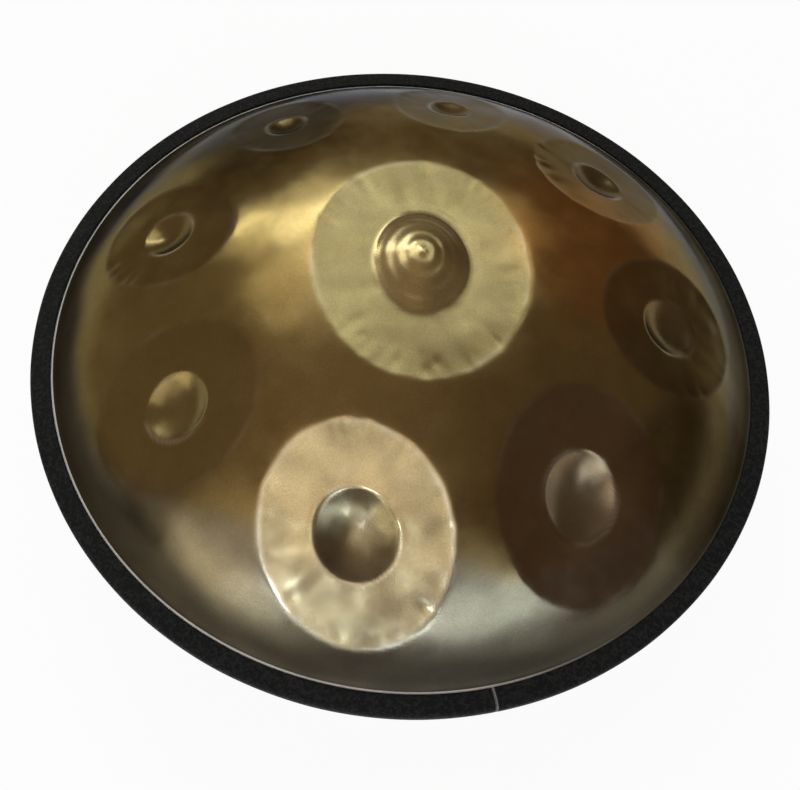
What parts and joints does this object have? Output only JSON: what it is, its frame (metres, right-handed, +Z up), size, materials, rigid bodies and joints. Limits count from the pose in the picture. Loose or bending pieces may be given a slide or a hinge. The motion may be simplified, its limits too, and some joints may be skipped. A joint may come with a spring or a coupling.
{
  "type": "handpan",
  "caption": "Handpan: two domed steel shells joined at the rim, with a central boss, a ring of flattened tone fields with dimples, a black rim guard and a round port below.",
  "frame": {"origin": "centre of the flat land round the port, on the surface that the instrument rests on", "axes": "+Z up through the central boss; -Y towards the player, +X to the player's right"},
  "size_m": [0.56, 0.56, 0.2327],
  "materials": {
    "bronzed_steel": "satin",
    "bond": "gloss",
    "guard_rubber": "matte"
  },
  "bodies": {
    "root": {"upper_shell": "bronzed_steel", "lower_shell": "bronzed_steel", "flange_bond": "bond", "guard_bond": "bond", "rim_guard": "guard_rubber"}
  },
  "joints": []
}
